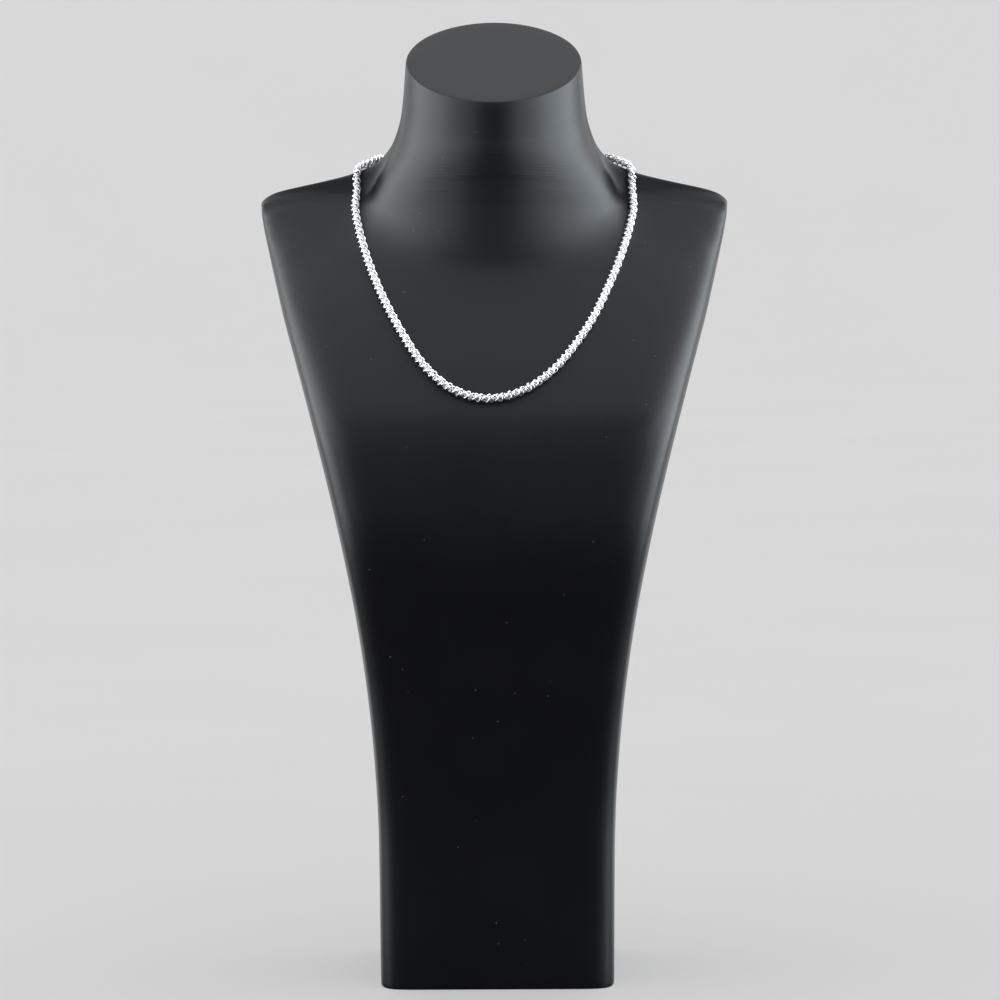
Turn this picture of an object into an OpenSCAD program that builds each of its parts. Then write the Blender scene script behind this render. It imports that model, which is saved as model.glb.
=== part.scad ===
// Rope chain necklace on a tall neck bust.
// Millimetres. +Z is up, the bust faces -Y, and the origin is on the ground
// under the middle of the bust's base.

/* [Bust] */
// Height of the shoulder tips above the ground
shoulder_h = 394; // [330:1:450]
// Height of the middle of the neck's top above the shoulder tips
neck_h = 76; // [65:1:95]
// Width over the shoulder tips
shoulder_w = 242; // [200:1:270]
// Width of the base
base_w = 120; // [100:1:150]
// Depth of the base, front to back
base_d = 120; // [105:1:140]
// Depth of the neck's axis behind the middle of the base
neck_back = 38; // [30:1:46]
// Diameter of the neck where it leaves the shoulders
neck_root_d = 96; // [88:1:104]
// Diameter of the neck at its top
neck_top_d = 91.5; // [80:0.5:94]
// Forward slant of the neck's flat top, in degrees
top_slant = 24.5; // [0:0.5:30]
// Backward slant of the shoulder tops, in degrees
shoulder_slant = 10; // [0:1:14]

/* [Chain] */
// Outer diameter of the rope chain
chain_d = 4.2; // [3:0.1:5.5]
// Gap between the chain or the clasp and the bust under it
lay_gap = 0.3; // [0.2:0.05:0.6]

/* [Clasp] */
// Length of the barrel clasp
clasp_l = 14; // [12:0.5:18]
// Wall of the clasp round the chain's ends
clasp_wall = 0.5; // [0.4:0.1:1]
// Depth of the cup at each end of the clasp
cup_depth = 3; // [2:0.5:4]
// Gap between the chain and the cup that holds its end
cup_gap = 0.15; // [0.1:0.05:0.3]

/* [Hidden] */

// Sections of the torso from the ground to the shoulder tips:
// height in shoulder_h, width from base_w (0) to shoulder_w (1),
// front and back in base_d from the middle of the base,
// squareness of the front and of the back half, neck in its own radius,
// slant in shoulder_slant, roundness of the neck's front in the neck's radius
torso = [
    [0.000, 0.000, -0.500, 0.500, 14, 6.0, 0.00, 0.00, 1.00],
    [0.190, 0.007, -0.533, 0.517, 14, 6.0, 0.00, 0.00, 1.00],
    [0.325, 0.054, -0.592, 0.550, 14, 5.5, 0.00, 0.00, 1.00],
    [0.455, 0.155, -0.675, 0.600, 14, 5.0, 0.00, 0.05, 1.00],
    [0.585, 0.316, -0.758, 0.658, 14, 4.5, 0.00, 0.15, 1.00],
    [0.690, 0.490, -0.727, 0.705, 14, 4.0, 0.00, 0.35, 1.00],
    [0.765, 0.630, -0.570, 0.735, 14, 3.8, 0.00, 0.50, 1.00],
    [0.850, 0.792, -0.300, 0.765, 14, 3.6, 0.95, 0.75, 1.75],
    [0.925, 0.893, -0.015, 0.785, 14, 3.4, 1.08, 0.95, 2.15],
    [0.985, 0.980, 0.178, 0.800, 14, 3.2, 1.013, 1.00, 1.90],
    [1.000, 0.990, 0.225, 0.796, 14, 3.2, 1.005, 1.00, 1.80]
];

// Sections from the shoulder tips to the neck's top: height in neck_h,
// width in shoulder_w, front and back in base_d, squareness of the front and
// of the back half, neck from neck_root_d (0) to neck_top_d (1),
// slant from shoulder_slant (0) to top_slant (1), roundness of the neck's front
// in the neck's radius
shoulders = [
    [0.03, 0.996, 0.243, 0.795, 14, 3.1, -0.06, 0.00, 1.75],
    [0.10, 0.943, 0.275, 0.780, 13, 3.0, 0.00, 0.00, 1.60],
    [0.17, 0.758, 0.286, 0.765, 10, 2.9, 0.05, 0.02, 1.46],
    [0.24, 0.564, 0.290, 0.745, 6, 2.7, 0.10, 0.05, 1.34],
    [0.33, 0.405, 0.290, 0.710, 3, 2.4, 0.18, 0.13, 1.21],
    [0.45, 0.320, 0.290, 0.650, 2, 2.1, 0.32, 0.32, 1.09],
    [0.65, 0.260, 0.290, 0.530, 2, 2.0, 0.60, 0.68, 1.02],
    [1.00, 0.200, 0.290, 0.420, 2, 2.0, 1.00, 1.00, 1.00]
];

// How tightly the neck and the shoulders blend, how far the points of a section
// crowd towards its corners, in degrees, and how late they turn to the neck
blend = 6;
crowd = 8;
turn = 3;
// How wide the neck's front grows in its own radius, and how sharply it stops
widest = 1.5;
level_off = 8;
// Points round a section, and rings from one section of a table to the next
around = 64;
steps = 3;

// Both tables in millimetres: height, half width, front and back from the
// neck's axis, squareness of front and back, neck radius, slope of the section,
// roundness of the neck's front
sections = concat(
    [for (r = torso) [
        r[0] * shoulder_h,
        mix(base_w, shoulder_w, r[1]) / 2,
        neck_back - r[2] * base_d,
        r[3] * base_d - neck_back,
        r[4], r[5],
        r[6] * neck_root_d / 2,
        -r[7] * tan(shoulder_slant),
        r[8]
    ]],
    [for (r = shoulders) [
        shoulder_h + r[0] * neck_h,
        r[1] * shoulder_w / 2,
        neck_back - r[2] * base_d,
        r[3] * base_d - neck_back,
        r[4], r[5],
        mix(neck_root_d, neck_top_d, r[6]) / 2,
        mix(-tan(shoulder_slant), tan(top_slant), r[7]),
        r[8]
    ]]
);

// Height of the point inside the chest that the chain's route is seen from, in
// shoulder_h
heart = 0.76;
// Route of the chain from the clasp round the wearer's left, the front and the
// right, seen from that point on the neck's axis: direction round the axis and
// steepness above the level, both in degrees
route = [
    [78, 58.5], [54, 59.5], [30, 62], [12, 63.5], [1, 60.7], [-4, 56],
    [-12, 52.3], [-21.5, 48.8], [-31, 44.1], [-40.5, 38], [-49.5, 31],
    [-57.5, 23.5], [-65, 16.3], [-73.5, 8.5], [-82.5, 2.8], [-92, 0.7],
    [-101.5, 3.3], [-110, 9.7], [-117.5, 17.5], [-125.5, 25.5], [-134, 33],
    [-143, 39.8], [-152, 45.4], [-161, 49.6], [-170, 53], [-176.5, 56.5],
    [-181.5, 60.7], [-192, 63.5], [-210, 62], [-234, 59.5], [-258, 58.5]
];
// Sides of the chain's tube, and rings from one point of the route to the next
tube_sides = 10;
tube_steps = 3;

function mix(a, b, t) = a + (b - a) * t;
function unit(v) = v / norm(v);

// Value of column c of a table at x, on a smooth curve that never overshoots
function rise(t, c, i) = (t[i + 1][c] - t[i][c]) / (t[i + 1][0] - t[i][0]);
function tangent(t, c, i) =
    i == 0 ? rise(t, c, 0) :
    i == len(t) - 1 ? rise(t, c, i - 1) :
    let (a = rise(t, c, i - 1), b = rise(t, c, i))
    a * b <= 0 ? 0 : 2 * a * b / (a + b);
function value(t, c, i, x) =
    let (
        w = t[i + 1][0] - t[i][0],
        s = (x - t[i][0]) / w,
        a = tangent(t, c, i) * w,
        b = tangent(t, c, i + 1) * w,
        d = t[i + 1][c] - t[i][c]
    )
    t[i][c] + s * (a + s * (3 * d - 2 * a - b + s * (a + b - 2 * d)));
function section(h) =
    let (
        below = len([for (s = sections) if (s[0] <= h) 1]) - 1,
        i = max(0, min(below, len(sections) - 2))
    )
    [for (c = [0:8]) c == 0 ? h : value(sections, c, i, h)];

// Distance from the neck's axis to the bust's surface in direction a. The slab
// of the chest and shoulders blends with the neck, whose front flares: it is a
// wider circle than the neck, set back so that the neck stays as deep, and it
// levels off at widest times the neck's radius.
function reach(s, a) =
    let (
        front = sin(a) < 0,
        depth = front ? s[2] : s[3],
        q = front ? s[4] : s[5],
        slab = pow(pow(abs(cos(a)) / s[1], q) + pow(abs(sin(a)) / depth, q), -1 / q),
        set_back = s[8] - 1,
        flank = sqrt(s[8] + set_back),
        wide = front ?
            set_back * sin(a) + sqrt(s[8] * s[8] - pow(set_back * cos(a), 2)) :
            1 / norm([cos(a) / flank, sin(a)]),
        neck = s[6] * wide * pow(1 + pow(wide / widest, level_off), -1 / level_off)
    )
    pow(pow(slab, blend) + pow(neck, blend), 1 / blend);
function on_section(s, a) =
    let (r = reach(s, a))
    [r * cos(a), neck_back + r * sin(a), s[0] + s[7] * r * sin(a)];

// One ring of the bust, its points crowded towards the slab's corners
function ring(s) =
    [for (k = [0:around - 1])
        let (
            u = k * 360 / around,
            v = u + crowd * sin(4 * u),
            front = sin(v) < 0,
            middle_depth = reach(s, front ? -90 : 90),
            depth = mix(front ? s[2] : s[3], middle_depth, pow(abs(sin(v)), turn))
        )
        on_section(s, atan2(depth * sin(v), reach(s, 0) * cos(v)))
    ];

// Closed skin over rings of n points each, its diagonals mirrored from one side
// to the other, with a fan round the middle of the first and of the last ring
function middle(ring) = [for (p = ring) 1] * ring / len(ring);
function skin_faces(rings, n) =
    concat(
        [for (k = [0:n - 1]) [k, (k + 1) % n, rings * n]],
        [for (i = [0:rings - 2], k = [0:n - 1])
            let (
                a = i * n + k,
                b = i * n + (k + 1) % n,
                right = cos((k + 0.5) * 360 / n) > 0
            )
            each right ? [[a, a + n, b + n], [a, b + n, b]] : [[a, a + n, b], [b, a + n, b + n]]],
        [for (k = [0:n - 1])
            [(rings - 1) * n + (k + 1) % n, (rings - 1) * n + k, rings * n + 1]]
    );
module skin(rings) {
    last = len(rings) - 1;
    points = concat([for (r = rings, p = r) p], [middle(rings[0]), middle(rings[last])]);
    polyhedron(points, skin_faces(last + 1, len(rings[0])), convexity = 6);
}

// Lowest section that the route crosses, in shoulder_h, and the halvings that
// find the section of a point
seen_from = 0.7;
halvings = 15;
// Point of the bust's surface seen from the heart in direction a at steepness
// e: the section that passes through it is found by halving
function section_seen(a, e, low, high, left) =
    let (
        mid = (low + high) / 2,
        p = on_section(section(mid), a),
        over = p[2] - heart * shoulder_h - tan(e) * norm([p[0], p[1] - neck_back])
    )
    left == 0 ? mid :
    over < 0 ? section_seen(a, e, mid, high, left - 1) : section_seen(a, e, low, mid, left - 1);
function on_bust(a, e) =
    let (h = section_seen(a, e, seen_from * shoulder_h, shoulder_h + neck_h, halvings))
    on_section(section(h), a);
// The same point lifted off the surface, and the surface's direction there
function off_bust(a, e, lift) =
    let (
        across = on_bust(a + 1, e) - on_bust(a - 1, e),
        up = on_bust(a, e + 1) - on_bust(a, e - 1),
        out = unit(cross(across, up))
    )
    [on_bust(a, e) + lift * out, out];

// Smooth curve through the points of a list, t running from 0 to its last index
function through(pts, t) =
    let (
        i = min(floor(t), len(pts) - 2),
        s = t - i,
        p1 = pts[i],
        p2 = pts[i + 1],
        p0 = i > 0 ? pts[i - 1] : 2 * p1 - p2,
        p3 = i + 2 < len(pts) ? pts[i + 2] : 2 * p2 - p1
    )
    p1 + s * ((p2 - p0) / 2 + s * ((2 * p0 - 5 * p1 + 4 * p2 - p3) / 2 +
        s * (3 * p1 - p0 - 3 * p2 + p3) / 2));

clasp_d = chain_d + 2 * (cup_gap + clasp_wall);
clasp_seat = off_bust(90, route[0][1], clasp_d / 2 + lay_gap);
clasp_at = clasp_seat[0];
// The chain's ends stop this far short of the bottom of each cup
end_x = clasp_l / 2 - cup_depth + cup_gap;

chain_path = concat(
    [[clasp_at + [end_x, 0, 0], clasp_seat[1]], [clasp_at + [clasp_l / 2, 0, 0], clasp_seat[1]]],
    [for (t = [0:1 / tube_steps:len(route) - 1])
        let (p = through(route, t))
        off_bust(p[0], p[1], chain_d / 2 + lay_gap)],
    [[clasp_at - [clasp_l / 2, 0, 0], clasp_seat[1]], [clasp_at - [end_x, 0, 0], clasp_seat[1]]]
);

// Ring i of the chain's tube, square to the path
function tube_ring(path, i) =
    let (
        last = len(path) - 1,
        along = unit(path[min(i + 1, last)][0] - path[max(i - 1, 0)][0]),
        side = unit(cross(path[i][1], along)),
        out = cross(along, side)
    )
    [for (k = [0:tube_sides - 1])
        let (a = k * 360 / tube_sides)
        path[i][0] + chain_d / 2 * (cos(a) * side + sin(a) * out)];

module bust() {
    heights = concat(
        [for (i = [0:len(sections) - 2], j = [0:steps - 1])
            mix(sections[i][0], sections[i + 1][0], j / steps)],
        [shoulder_h + neck_h]
    );
    color("#1b1b1e") skin([for (h = heights) ring(section(h))]);
}

module rope_chain() {
    color("#dfe1e4") skin([for (i = [0:len(chain_path) - 1]) tube_ring(chain_path, i)]);
}

module clasp() {
    r = clasp_d / 2;
    bore = chain_d / 2 + cup_gap;
    half = clasp_l / 2;
    color("#cfd2d6") translate(clasp_at) rotate([0, 90, 0]) difference() {
        cylinder(h = clasp_l, r = r, center = true, $fn = 48);
        for (side = [-1, 1])
            translate([0, 0, side * (half - cup_depth / 2)])
                cylinder(h = cup_depth + 0.02, r = bore, center = true, $fn = 48);
    }
}

bust();
rope_chain();
clasp();
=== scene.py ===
import math

import bpy
import numpy as np
from mathutils import Matrix, Vector
from mathutils.bvhtree import BVHTree


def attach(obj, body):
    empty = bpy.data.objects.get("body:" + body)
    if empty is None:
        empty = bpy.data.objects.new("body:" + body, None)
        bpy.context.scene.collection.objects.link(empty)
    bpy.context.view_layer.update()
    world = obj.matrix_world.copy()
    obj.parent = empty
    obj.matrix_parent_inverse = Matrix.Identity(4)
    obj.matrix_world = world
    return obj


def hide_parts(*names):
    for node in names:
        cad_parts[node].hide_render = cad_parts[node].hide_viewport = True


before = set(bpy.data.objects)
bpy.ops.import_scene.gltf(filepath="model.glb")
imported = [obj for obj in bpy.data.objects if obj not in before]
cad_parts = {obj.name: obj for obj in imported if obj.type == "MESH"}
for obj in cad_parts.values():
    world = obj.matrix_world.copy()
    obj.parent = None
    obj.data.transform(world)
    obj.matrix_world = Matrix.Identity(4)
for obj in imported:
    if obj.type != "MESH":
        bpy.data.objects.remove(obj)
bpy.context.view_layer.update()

# The bust is one hollow moulding with no seam, sprayed satin black. Its neck is
# cut off flat on a slant and its base is cut off level, and both edges are
# eased only a little with sandpaper. A few specks of dust lie on the paint.
cut_edge = math.radians(55)
edge_ease = 0.0007
ease_steps = 2
paint_black = (0.0046, 0.0049, 0.0062, 1)
paint_worn = (0.0056, 0.0060, 0.0075, 1)
dust_grey = (0.11, 0.11, 0.11, 1)
dust_cells = 95
dust_size = 0.034


class Shade:
    """A socket of a material, whose arithmetic adds Math nodes to the material."""

    def __init__(self, tree, socket=None):
        self.tree = tree
        self.socket = socket

    def node(self, kind, settings=(), **inputs):
        made = self.tree.nodes.new(kind)
        for name, value in settings:
            setattr(made, name, value)
        for name, value in inputs.items():
            key = int(name[1:]) if name[1:].isdigit() else name.replace("_", " ")
            if isinstance(value, Shade):
                self.tree.links.new(value.socket, made.inputs[key])
            else:
                made.inputs[key].default_value = value
        return Shade(self.tree, made.outputs[0])

    def output(self, name):
        return Shade(self.tree, self.socket.node.outputs[name])

    def math(self, operation, first, second):
        return self.node("ShaderNodeMath", [("operation", operation)], i0=first, i1=second)

    def __add__(self, other):
        return self.math("ADD", self, other)

    def __rsub__(self, other):
        return self.math("SUBTRACT", other, self)

    def __mul__(self, other):
        return self.math("MULTIPLY", self, other)

    __radd__ = __add__
    __rmul__ = __mul__

    def below(self, other):
        return self.math("LESS_THAN", self, other)

    def blend(self, low, high):
        """The colour low where this is 0, and high where it is 1."""
        mixed = self.node("ShaderNodeMix", [("data_type", "RGBA")], i0=self, i6=low, i7=high)
        return Shade(self.tree, mixed.socket.node.outputs[2])


def new_finish(name, **constants):
    """A new material, with its shader and a Shade to build the rest from."""
    material = bpy.data.materials.new(name)
    material.use_nodes = True
    shader = material.node_tree.nodes["Principled BSDF"]
    for socket, value in constants.items():
        shader.inputs[socket.replace("_", " ")].default_value = value
    return material, shader, Shade(material.node_tree)


def feed(shader, socket, shade):
    shade.tree.links.new(shade.socket, shader.inputs[socket])


def noise(shade, place, scale, detail):
    return shade.node("ShaderNodeTexNoise", Vector=place, Scale=scale, Detail=detail)


def bump(shade, height, distance, strength):
    return shade.node("ShaderNodeBump", Height=height, Distance=distance, Strength=strength)


def select_only(thing):
    bpy.ops.object.select_all(action="DESELECT")
    thing.select_set(True)
    bpy.context.view_layer.objects.active = thing


def apply_modifier(thing, kind, **settings):
    select_only(thing)
    made = thing.modifiers.new(kind.lower(), kind)
    for name, value in settings.items():
        setattr(made, name, value)
    bpy.ops.object.modifier_apply(modifier=made.name)


bust = bpy.data.objects.new("neck_bust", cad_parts["bust"].data.copy())
bpy.context.scene.collection.objects.link(bust)
select_only(bust)
bpy.ops.object.mode_set(mode="EDIT")
bpy.ops.mesh.select_all(action="SELECT")
bpy.ops.mesh.remove_doubles(threshold=1e-6)
bpy.ops.mesh.tris_convert_to_quads()
bpy.ops.mesh.normals_make_consistent(inside=False)
bpy.ops.mesh.select_all(action="DESELECT")
bpy.ops.mesh.select_mode(type="EDGE")
bpy.ops.mesh.edges_select_sharp(sharpness=cut_edge)
bpy.ops.mesh.bevel(offset=edge_ease, segments=ease_steps, profile=0.5)
bpy.ops.object.mode_set(mode="OBJECT")
apply_modifier(bust, "SUBSURF", levels=2)
select_only(bust)
bpy.ops.object.shade_smooth()

satin, shader, shade = new_finish("satin_black_paint", Specular_IOR_Level=0.25)
place = shade.node("ShaderNodeTexCoord").output("Object")
dust = shade.node("ShaderNodeTexVoronoi", Vector=place, Scale=dust_cells).below(dust_size)
patchy = noise(shade, place, 26, 3.0)
feed(shader, "Base Color", dust.blend(patchy.blend(paint_black, paint_worn), dust_grey))
feed(shader, "Roughness", 0.33 + 0.09 * patchy + 0.4 * dust)
feed(shader, "Normal", bump(shade, noise(shade, place, 2200, 3.0), 0.00004, 0.35))
bust.data.materials.clear()
bust.data.materials.append(satin)
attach(bust, "root")
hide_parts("bust")

# The clasp is a turned silver barrel behind the neck, with a cup at each end
# that the chain's last links are soldered into. It lies on the bust, just off
# the paint, and never opens here.
clasp_length = 0.014
clasp_radius = 0.00275
clasp_sides = 40
clasp_ease = 0.00012
clasp_back = 90
clasp_rise = 58.5
cup_radius = 0.00225
cup_depth = 0.003
lay_gap = 0.0003
heart = Vector((0, 0.038, 0.76 * 0.394))
barrel_dull = (0.86, 0.86, 0.85, 1)
barrel_bright = (0.95, 0.95, 0.94, 1)
skin = BVHTree.FromObject(bust, bpy.context.evaluated_depsgraph_get())


def seen(direction, rise):
    """The bust's surface as seen from inside the chest, both angles in degrees."""
    a = math.radians(direction)
    e = math.radians(rise)
    ray = Vector((math.cos(a) * math.cos(e), math.sin(a) * math.cos(e), math.sin(e)))
    return skin.ray_cast(heart, ray)[0]


def lifted(direction, rise, lift):
    """The same point lifted off the surface."""
    across = seen(direction + 1, rise) - seen(direction - 1, rise)
    up = seen(direction, rise + 1) - seen(direction, rise - 1)
    return seen(direction, rise) + lift * across.cross(up).normalized()


def read_vertices(mesh):
    flat = np.empty(3 * len(mesh.vertices))
    mesh.vertices.foreach_get("co", flat)
    return flat.reshape(-1, 3)


def pick_end(thing, side):
    """Selects, in edit mode, the faces that look along x to one side."""
    bpy.ops.mesh.select_mode(type="FACE")
    bpy.ops.mesh.select_all(action="DESELECT")
    bpy.ops.object.mode_set(mode="OBJECT")
    for face in thing.data.polygons:
        face.select = face.normal.x * side > 0.9
    bpy.ops.object.mode_set(mode="EDIT")


clasp_place = lifted(clasp_back, clasp_rise, clasp_radius + lay_gap)
bpy.ops.object.select_all(action="DESELECT")
bpy.ops.mesh.primitive_cylinder_add(
    vertices=clasp_sides, radius=clasp_radius, depth=clasp_length,
    location=clasp_place, rotation=(0, math.pi / 2, 0)
)
clasp = bpy.context.object
clasp.name = "barrel_clasp"
bpy.ops.object.transform_apply(location=True, rotation=True)
bpy.ops.object.mode_set(mode="EDIT")
for side in (-1, 1):
    pick_end(clasp, side)
    bpy.ops.mesh.inset(thickness=clasp_radius - cup_radius)
    bpy.ops.mesh.extrude_region_move(TRANSFORM_OT_translate={"value": (-side * cup_depth, 0, 0)})
bpy.ops.mesh.select_mode(type="EDGE")
bpy.ops.mesh.select_all(action="DESELECT")
bpy.ops.mesh.edges_select_sharp(sharpness=cut_edge)
bpy.ops.mesh.bevel(offset=clasp_ease, segments=ease_steps, profile=0.5)
bpy.ops.mesh.select_all(action="SELECT")
bpy.ops.mesh.normals_make_consistent(inside=False)
bpy.ops.object.mode_set(mode="OBJECT")
bpy.ops.object.shade_smooth_by_angle(angle=math.radians(40))

barrel, shader, shade = new_finish("turned_silver", Metallic=1.0)
place = shade.node("ShaderNodeTexCoord").output("Object")
handled = noise(shade, place, 380, 3.0)
feed(shader, "Base Color", handled.blend(barrel_dull, barrel_bright))
feed(shader, "Roughness", 0.14 + 0.16 * handled)
feed(shader, "Normal", bump(shade, noise(shade, place, 5200, 2.0), 0.00001, 0.3))
clasp.data.materials.append(barrel)
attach(clasp, "root")
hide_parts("clasp")

# The rope is made of oval silver links, each soldered shut. A link hangs across
# the one before it from the other side of the rope and a little further round,
# so that two strands wind round each other. Six links make one lobe.
link_reach = 0.00134
link_spread = 0.0015
link_wire = 0.00082
link_offset = 0.00062
link_tilt = math.radians(48)
end_size = 0.92
lobe_length = 0.0054
lobe_links = 6
twist_hand = 1
link_bends = 3
chain_radius = 0.0021
cup_gap = 0.00015
rope_give = 0.0012
rope_rounds = 18
slope_reach = 0.001
# The silver is painted a little darker towards the rope's core: painted shade in the grooves
# between the links, lighter on their outer faces.
silver_in_groove_shade = (0.72, 0.70, 0.70, 1)
silver_out_of_shade = (0.75, 0.725, 0.72, 1)
groove_shade_reach = 0.0011
groove_shade_fade = 0.0009
route_parts = 12
route = [
    (78, 58.5), (54, 59.5), (30, 62), (12, 63.5), (1, 60.7), (-4, 56),
    (-12, 52.3), (-21.5, 48.8), (-31, 44.1), (-40.5, 38), (-49.5, 31),
    (-57.5, 23.5), (-65, 16.3), (-73.5, 8.5), (-82.5, 2.8), (-92, 0.7),
    (-101.5, 3.3), (-110, 9.7), (-117.5, 17.5), (-125.5, 25.5), (-134, 33),
    (-143, 39.8), (-152, 45.4), (-161, 49.6), (-170, 53), (-176.5, 56.5),
    (-181.5, 60.7), (-192, 63.5), (-210, 62), (-234, 59.5), (-258, 58.5)
]


def through(points, t):
    """A smooth curve through the points, t running from 0 to the last index."""
    i = min(int(t), len(points) - 2)
    s = t - i
    p1 = points[i]
    p2 = points[i + 1]
    p0 = points[i - 1] if i > 0 else 2 * p1 - p2
    p3 = points[i + 2] if i + 2 < len(points) else 2 * p2 - p1
    bend = s * (3 * p1 - p0 - 3 * p2 + p3) / 2
    return p1 + s * ((p2 - p0) / 2 + s * ((2 * p0 - 5 * p1 + 4 * p2 - p3) / 2 + bend))


def unit_rows(rows):
    return rows / np.linalg.norm(rows, axis=1)[:, None]


bpy.ops.object.select_all(action="DESELECT")
bpy.ops.curve.primitive_bezier_circle_add(radius=1)
link = bpy.context.object
bpy.ops.transform.resize(value=(link_reach, link_spread, 1))
bpy.ops.object.transform_apply(scale=True)
for knot in link.data.splines[0].bezier_points:
    knot.radius = 1
link.data.resolution_u = link_bends
link.data.bevel_depth = link_wire / 2
link.data.bevel_resolution = 1
bpy.ops.object.convert(target="MESH")
link = bpy.context.object
link_points = read_vertices(link.data)
link_faces = np.array([list(face.vertices) for face in link.data.polygons])
bpy.data.objects.remove(link)


def length_along(path):
    return np.concatenate([[0], np.cumsum(np.linalg.norm(np.diff(path, axis=0), axis=1))])


def spaced(path, gap):
    """The same line with its points evenly spaced."""
    arc = length_along(path)
    at = np.linspace(0, arc[-1], int(arc[-1] / gap) + 1)
    return np.stack([np.interp(at, arc, path[:, axis]) for axis in range(3)], axis=1)


marks = [np.array(mark, float) for mark in route]
spots = [
    lifted(*through(marks, k / route_parts), chain_radius + lay_gap)
    for k in range(route_parts * (len(route) - 1) + 1)
]
end_x = clasp_length / 2 - cup_depth + cup_gap
mouths = [clasp_place + Vector((side * clasp_length / 2, 0, 0)) for side in (1, -1)]
path = spaced(np.array([mouths[0]] + spots + [mouths[1]]), rope_give)
for _ in range(rope_rounds):
    path[1:-1] = (path[:-2] + path[1:-1] + path[2:]) / 3
    for k in range(1, len(path) - 1):
        foot, out, _, far = skin.find_nearest(Vector(path[k]))
        if far < chain_radius + lay_gap:
            path[k] = foot + (chain_radius + lay_gap) * out
outward = np.array([skin.find_nearest(Vector(spot))[1] for spot in path])
cup_ends = [np.array(clasp_place) + side * np.array((end_x, 0, 0)) for side in (1, -1)]
path = np.concatenate([cup_ends[:1], path, cup_ends[1:]])
outward = np.concatenate([outward[:1], outward, outward[-1:]])
arc = length_along(path)
end_room = link_spread * math.cos(link_tilt) + link_wire / 2
count = int((arc[-1] - 2 * end_room) * lobe_links / lobe_length) + 1
places = np.linspace(end_room, arc[-1] - end_room, count)
from_end = np.minimum(places, arc[-1] - places)
link_size = np.interp(from_end, (2 * cup_depth, 4 * cup_depth), (end_size, 1))[:, None]


def along_path(values, at):
    return np.stack([np.interp(at, arc, values[:, axis]) for axis in range(3)], axis=1)


middle = along_path(path, places)
ahead = along_path(path, places + slope_reach)
behind = along_path(path, places - slope_reach)
tangent = unit_rows(ahead - behind)
side_ways = unit_rows(np.cross(tangent, along_path(outward, places)))
out_ways = np.cross(side_ways, tangent)
turned = (math.pi * (1 + 1 / lobe_links) * np.arange(count))[:, None]
to_link = np.cos(turned) * out_ways + twist_hand * np.sin(turned) * side_ways
round_rope = -np.sin(turned) * out_ways + twist_hand * np.cos(turned) * side_ways
facing = math.cos(link_tilt) * round_rope + math.sin(link_tilt) * tangent
over = np.cross(facing, to_link)
centres = middle + link_offset * link_size * to_link
points = (
    centres[:, None, :]
    + link_points[None, :, 0, None] * (link_size * to_link)[:, None, :]
    + link_points[None, :, 1, None] * (link_size * over)[:, None, :]
    + link_points[None, :, 2, None] * (link_size * facing)[:, None, :]
).reshape(-1, 3)
first_points = (np.arange(count) * len(link_points))[:, None, None]
faces = (link_faces[None, :, :] + first_points).reshape(-1, 4)
rope_mesh = bpy.data.meshes.new("rope_links")
rope_mesh.from_pydata(points.tolist(), [], faces.tolist())
rope_mesh.update()
# How far each point of a link stands out from the rope's core sets the painted groove shade:
# full shade near the core, fading out towards the outside.
depth = np.linalg.norm(points.reshape(count, -1, 3) - middle[:, None, :], axis=2).ravel()
groove_shade_lift = rope_mesh.attributes.new("groove_shade_lift", "FLOAT", "POINT")
groove_shade_lift.data.foreach_set("value", np.clip((depth - groove_shade_reach) / groove_shade_fade, 0, 1))
rope = bpy.data.objects.new("rope_links", rope_mesh)
bpy.context.scene.collection.objects.link(rope)
select_only(rope)
bpy.ops.object.shade_smooth()

silver, shader, shade = new_finish("tumbled_silver", Metallic=1.0)
place = shade.node("ShaderNodeTexCoord").output("Object")
# The base colour carries the painted groove shade, darker towards the rope's core; the same
# factor also makes the outer faces a little smoother.
shade_lift_fac = shade.node("ShaderNodeAttribute", [("attribute_name", "groove_shade_lift")]).output("Fac")
grain = noise(shade, place, 900, 2.0)
feed(shader, "Base Color", shade_lift_fac.blend(silver_in_groove_shade, silver_out_of_shade))
feed(shader, "Roughness", 0.50 - 0.10 * shade_lift_fac + 0.08 * grain)
feed(shader, "Normal", bump(shade, noise(shade, place, 4200, 2.0), 0.00001, 0.3))
rope.data.materials.append(silver)
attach(rope, "root")
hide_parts("rope_chain")

# The studio is a pale round room whose floor curves up into its wall. Broad soft
# panels stand round the bust and overhead, and the room's even light fills in.
# The camera is level with the neck's top and dips a little.
camera_place = (0.0023, -2.5618, 0.4719)
camera_dip = math.radians(5.07)
camera_roll = math.radians(-0.25)
camera_focal = 179.5
camera_film = 36
room_radius = 6.0
room_sides = 96
room_height = 3.0
room_bend = 1.6
bend_steps = 16
room_glow = 0.32
room_light = (0.52, 0.54, 0.58, 1)
paper_low = (0.52, 0.52, 0.52, 1)
paper_high = (0.57, 0.57, 0.575, 1)
left_tint = (0.95, 0.98, 1.0)
right_tint = (0.86, 0.94, 1.0)
top_tint = (0.92, 0.94, 1.0)
front_tint = (0.9, 0.94, 1.0)
bust_middle = (0, 0, 0.5)


def soft_panel(name, place, width, height, radiance, aim, tint=(1, 1, 1)):
    """A panel of a given brightness, seen only as it mirrors in the finishes."""
    bpy.ops.object.light_add(type="AREA", location=place)
    panel = bpy.context.object
    panel.name = name
    panel.data.shape = "RECTANGLE"
    panel.data.size = width
    panel.data.size_y = height
    panel.data.energy = radiance * math.pi * width * height
    panel.data.color = tint
    panel.rotation_euler = (Vector(aim) - Vector(place)).to_track_quat("-Z", "Y").to_euler()
    panel.visible_camera = False
    panel.visible_diffuse = False


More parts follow.
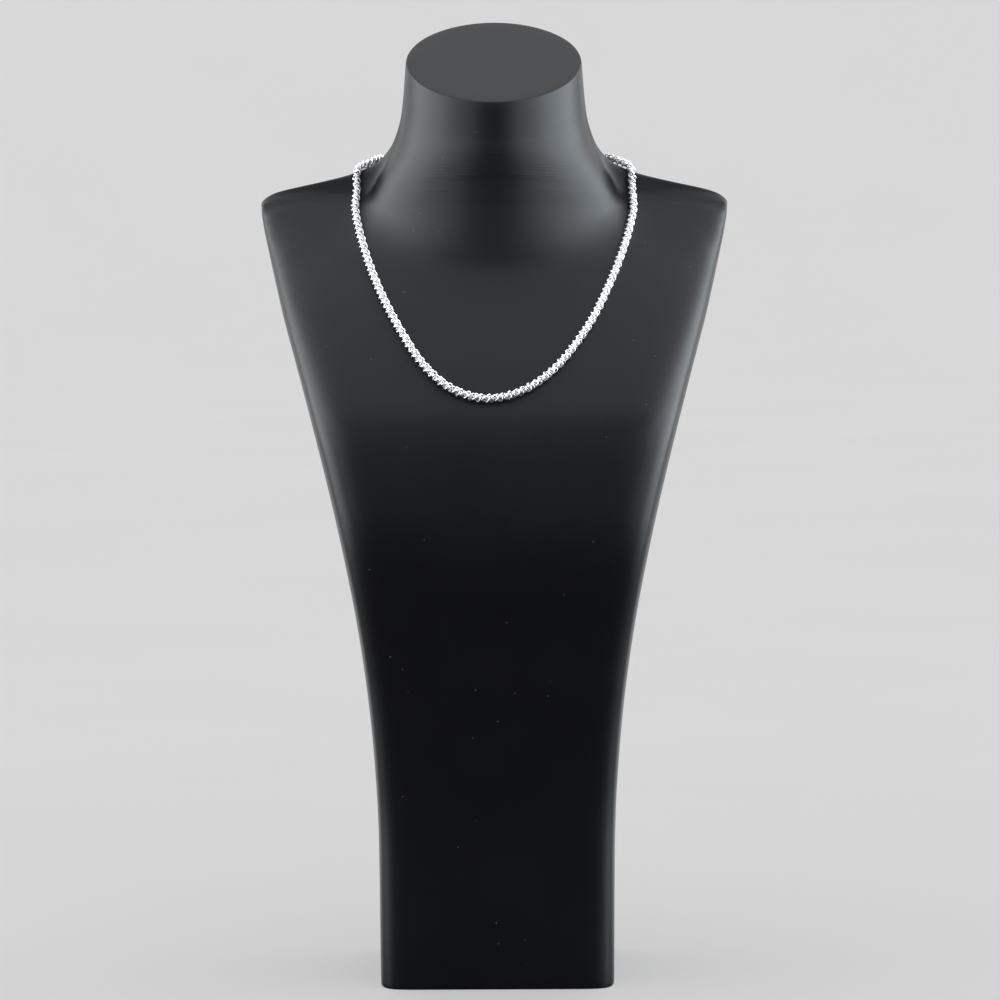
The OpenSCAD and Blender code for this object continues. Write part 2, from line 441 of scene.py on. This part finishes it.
bpy.ops.object.select_all(action="DESELECT")
bpy.ops.mesh.primitive_circle_add(vertices=room_sides, radius=room_radius, fill_type="NGON")
room = bpy.context.object
room.name = "pale_room"
bpy.ops.object.mode_set(mode="EDIT")
bpy.ops.mesh.select_mode(type="EDGE")
bpy.ops.mesh.select_all(action="DESELECT")
bpy.ops.mesh.select_non_manifold()
bpy.ops.mesh.extrude_region_move(TRANSFORM_OT_translate={"value": (0, 0, room_height)})
bpy.ops.mesh.select_all(action="DESELECT")
bpy.ops.mesh.edges_select_sharp(sharpness=cut_edge)
bpy.ops.mesh.bevel(offset=room_bend, segments=bend_steps, profile=0.5)
bpy.ops.object.mode_set(mode="OBJECT")
bpy.ops.object.shade_smooth()
room.visible_glossy = False

paper, shader, shade = new_finish("pale_paint", Roughness=0.9, Specular_IOR_Level=0.0)
place = shade.node("ShaderNodeTexCoord").output("Object")
cloudy = noise(shade, place, 3.0, 4.0)
feed(shader, "Base Color", cloudy.blend(paper_low, paper_high))
shader.inputs["Emission Color"].default_value = (1, 1, 1, 1)
shader.inputs["Emission Strength"].default_value = room_glow
room.data.materials.append(paper)

soft_panel("left_panel", (-1.30, 0, 0.90), 2.4, 2.2, 2.6, bust_middle, left_tint)
soft_panel("left_core", (-1.25, 0, 0.70), 1.3, 1.6, 3.4, bust_middle, left_tint)
soft_panel("left_wing", (-1.00, -1.20, 0.85), 0.7, 1.6, 2.4, bust_middle, left_tint)
soft_panel("left_edge", (-0.65, -1.45, 0.85), 0.4, 1.5, 0.5, bust_middle, left_tint)
soft_panel("right_panel", (1.30, 0, 0.90), 2.4, 2.2, 3.4, bust_middle, right_tint)
soft_panel("right_core", (1.25, 0, 0.70), 1.3, 1.6, 4.6, bust_middle, right_tint)
soft_panel("right_wing", (1.00, -1.20, 0.85), 0.7, 1.6, 3.3, bust_middle, right_tint)
soft_panel("right_edge", (0.65, -1.45, 0.85), 0.4, 1.5, 0.5, bust_middle, right_tint)
soft_panel("top_panel", (0, 0.10, 1.95), 2.4, 2.4, 1.15, (0, 0.10, 0), top_tint)
soft_panel("top_left", (-0.90, 0.10, 1.94), 1.0, 2.4, 0.9, (-0.90, 0.10, 0), top_tint)
soft_panel("top_right", (0.90, 0.10, 1.94), 1.0, 2.4, 0.9, (0.90, 0.10, 0), top_tint)
soft_panel("front_panel", (0, -1.90, 1.20), 2.2, 1.5, 0.22, (0, 0, 1.1), front_tint)
soft_panel("back_panel", (0, 1.40, 0.80), 2.8, 2.2, 1.0, (0, 0, 0.7))

world = bpy.data.worlds.new("dark_room")
world.use_nodes = True
world.node_tree.nodes["Background"].inputs["Color"].default_value = room_light
world.cycles_visibility.camera = False
world.cycles_visibility.glossy = False
bpy.context.scene.world = world

bpy.ops.object.camera_add(location=camera_place)
camera = bpy.context.object
camera.name = "camera"
camera.data.sensor_width = camera_film
camera.data.lens = camera_focal
camera.data.clip_end = 50
aim = Matrix.Rotation(math.pi / 2 - camera_dip, 3, "X") @ Matrix.Rotation(camera_roll, 3, "Z")
camera.rotation_euler = aim.to_euler()
bpy.context.scene.camera = camera
bpy.context.scene.view_settings.view_transform = "Standard"
